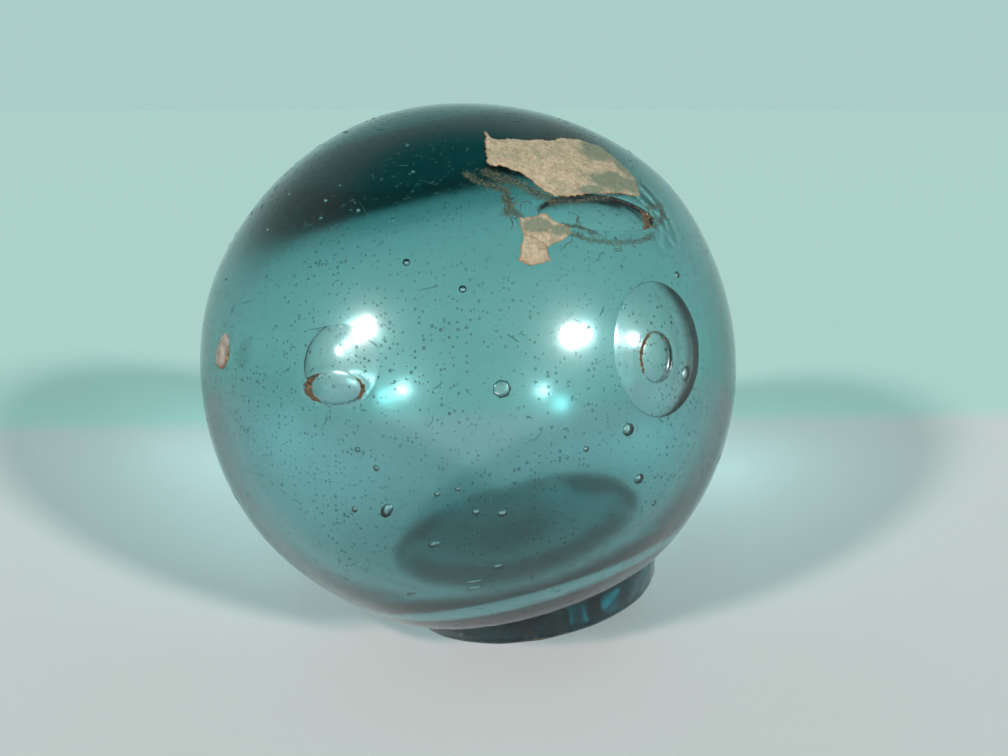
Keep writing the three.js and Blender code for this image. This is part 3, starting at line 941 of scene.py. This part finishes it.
def rimCrust():
    # grains of salt crust over the arcs where the crust is strong
    shells = []
    for which, middle, spread, reach, _ in stuckDirt["crust"]:
        blister = openBlisters[which]
        for _ in range(crustGrains["perArc"] if reach > crustGrains["leastReach"] else 0):
            part = rng.uniform(-0.85, 0.85)
            around = math.radians(middle + spread * part)
            share = 1.03 - reach * math.sqrt(1 - part ** 2) * rng.uniform(0, 1)
            out = fromLocal(blister, np.array(share * blister["halfWidth"] * math.cos(around)),
                            np.array(share * blister["halfHeight"] * math.sin(around)))
            size = rng.uniform(*crustGrains["size"], 2)
            shells.append(grainShell(out, float(skinRadius(out[None])[0]), size, crustGrains["flatness"],
                                     anySeed()))
    piece = meshPiece("rim_crust", shells, plainDirt("brown_salt_crust", "#18110c", "#8d6a48", 0.3, 0.85))
    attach(piece, "root")


wornStone = {
    "azimuth": -55,
    "elevation": 14,
    "size": (1.9, 2.6),
    "flatness": 0.42,
    # the collar: its half width and height in degrees, and its arc in radians
    "collar": (2.6, 3.0),
    "collarArc": (-2.4, 1.0),
    "collarGrains": 12,
}


def stuckStone():
    # one sea-worn chip of shell or stone, held by a collar of lighter dirt
    azimuth, elevation = wornStone["azimuth"], wornStone["elevation"]
    out = outward(azimuth, elevation)
    radius = float(softSkinRadius(out[None])[0])
    stone = grainShell(out, radius, wornStone["size"], wornStone["flatness"], 77, 26, 34)
    piece = meshPiece("stuck_stone", [stone], plainDirt("worn_pink_stone", "#7d746c", "#b3a498", 1.2, 0.85))
    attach(piece, "root")
    wide, high = wornStone["collar"]
    collar = [grainShell(outward(azimuth + wide * math.cos(a), elevation + high * math.sin(a)),
                         radius + 0.02, rng.uniform(0.25, 0.6, 2), 0.5, anySeed())
              for a in np.linspace(*wornStone["collarArc"], wornStone["collarGrains"])]
    piece = meshPiece("stone_collar", collar, plainDirt("tan_collar_dirt", "#5c4434", "#b58c6c", 0.5, 0.85))
    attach(piece, "root")


rimCrust()
stuckStone()

studio = {
    "floorRadii": (0.05, 0.2, 0.6, 4.0),  # metres
    "floorSides": 96,
    "table": "#e8e1e2",
    "backdrop": "#cde7e1",
    "line": 0.102,  # metres behind the ball where the backdrop's colour starts
    "lamps": [(-47, 27.6, 1.7, 6), (44, 24.2, 2.2, 6)],  # azimuth, elevation, strength, width in degrees
    "lampColour": "#fcfbf8",
    # the room's glow by the sine of the elevation: pale low down, dark overhead
    "sky": [(0.15, "#aed0cb"), (0.42, "#92aea8"), (0.7, "#8aa6a0"), (0.86, "#309896")],
    "front": 0.45,  # the room is this much darker on the camera's side
    "ambient": 0.97,
}


def studioFloor():
    # a flat disc of rings about the origin, one colour near and another from a line behind the ball
    sides = studio["floorSides"]
    turn = np.arange(sides) * 2 * np.pi / sides
    radius = np.array(studio["floorRadii"])[:, None]
    rings = np.stack([radius * np.cos(turn), radius * np.sin(turn), 0 * radius * turn], axis=-1)
    vertices = [(0, 0, 0), *rings.reshape(-1, 3).tolist()]
    ahead = [(i + 1) % sides for i in range(sides)]
    faces = [(0, 1 + i, 1 + ahead[i]) for i in range(sides)]
    for start in range(1, 1 + (len(rings) - 1) * sides, sides):
        outer = start + sides
        faces += [(start + i, outer + i, outer + ahead[i], start + ahead[i]) for i in range(sides)]
    mesh = bpy.data.meshes.new("studio_floor")
    mesh.from_pydata(vertices, [], faces)
    material, tree, place = newMaterial("matt_studio_paper")  # even matt paper, no shine
    back = addNode(tree, "SeparateXYZ", {"Vector": place})
    blend = addNode(tree, "MapRange", {
        "Value": back.outputs["Y"], "From Min": studio["line"] - 0.006, "From Max": studio["line"] + 0.012,
    }, interpolation_type="SMOOTHSTEP")
    colour = mixedColour(tree, blend, studio["table"], studio["backdrop"])
    paper = addNode(tree, "BsdfPrincipled", {"Base Color": colour, "Roughness": 0.9})
    addNode(tree, "OutputMaterial", {"Surface": paper})
    mesh.materials.append(material)
    placeObject("studio_floor", mesh)


def studioLight():
    # two soft lamps for the highlights, and a room that glows by the height looked at
    for number, (azimuth, elevation, strength, width) in enumerate(studio["lamps"]):
        light = bpy.data.lights.new(f"soft_lamp_{number}", "SUN")
        light.energy = strength
        light.angle = math.radians(width)
        light.color = toLinear(studio["lampColour"])[:3]
        lamp = placeObject(light.name, light)
        lamp.rotation_euler = (math.radians(90 - elevation), 0, math.radians(azimuth))
    world = bpy.data.worlds.new("studio_room")
    world.use_nodes = True
    tree = world.node_tree
    tree.nodes.clear()
    way = addNode(tree, "TexCoord").outputs["Generated"]
    height = addNode(tree, "SeparateXYZ", {"Vector": way})
    colour = addNode(tree, "ValToRGB", {"Fac": height.outputs["Z"]})
    ramp = colour.color_ramp.elements
    for _ in studio["sky"][2:]:
        ramp.new(0.5)
    for stop, (sine, tone) in zip(ramp, studio["sky"]):
        stop.position = sine
        stop.color = toLinear(tone)
    front = addNode(tree, "MapRange", {
        "Value": height.outputs["Y"], "From Min": 0.35, "From Max": -0.6, "To Min": studio["ambient"],
        "To Max": studio["ambient"] * studio["front"],
    }, interpolation_type="SMOOTHSTEP")
    glow = addNode(tree, "Background", {"Color": colour, "Strength": front})
    addNode(tree, "OutputWorld", {"Surface": glow})
    bpy.context.scene.world = world


# distance in ball radii, the rest in degrees and mm; turn and tilt are off the ball's centre
cameraPlace = {"elevation": 17.5, "distance": 3.5, "lens": 32.0, "turn": -2.18, "tilt": 0.65}


def addCamera():
    # looks along +Y and down on the ball's centre, which sits a little left of and above the middle
    data = bpy.data.cameras.new("camera")
    data.lens = cameraPlace["lens"]
    data.sensor_width = 36.0
    data.clip_start = 0.01
    camera = placeObject("camera", data)
    e = math.radians(cameraPlace["elevation"])
    reach = cameraPlace["distance"] * ballRadius * mm
    camera.location = (0, -reach * math.cos(e), standHeight * mm + reach * math.sin(e))
    camera.rotation_euler = (
        math.radians(90 - cameraPlace["elevation"] - cameraPlace["tilt"]), 0,
        math.radians(cameraPlace["turn"]),
    )
    bpy.context.scene.camera = camera


studioFloor()
studioLight()
addCamera()
bpy.context.scene.view_settings.view_transform = "Standard"
print("stage, lamps and camera placed")
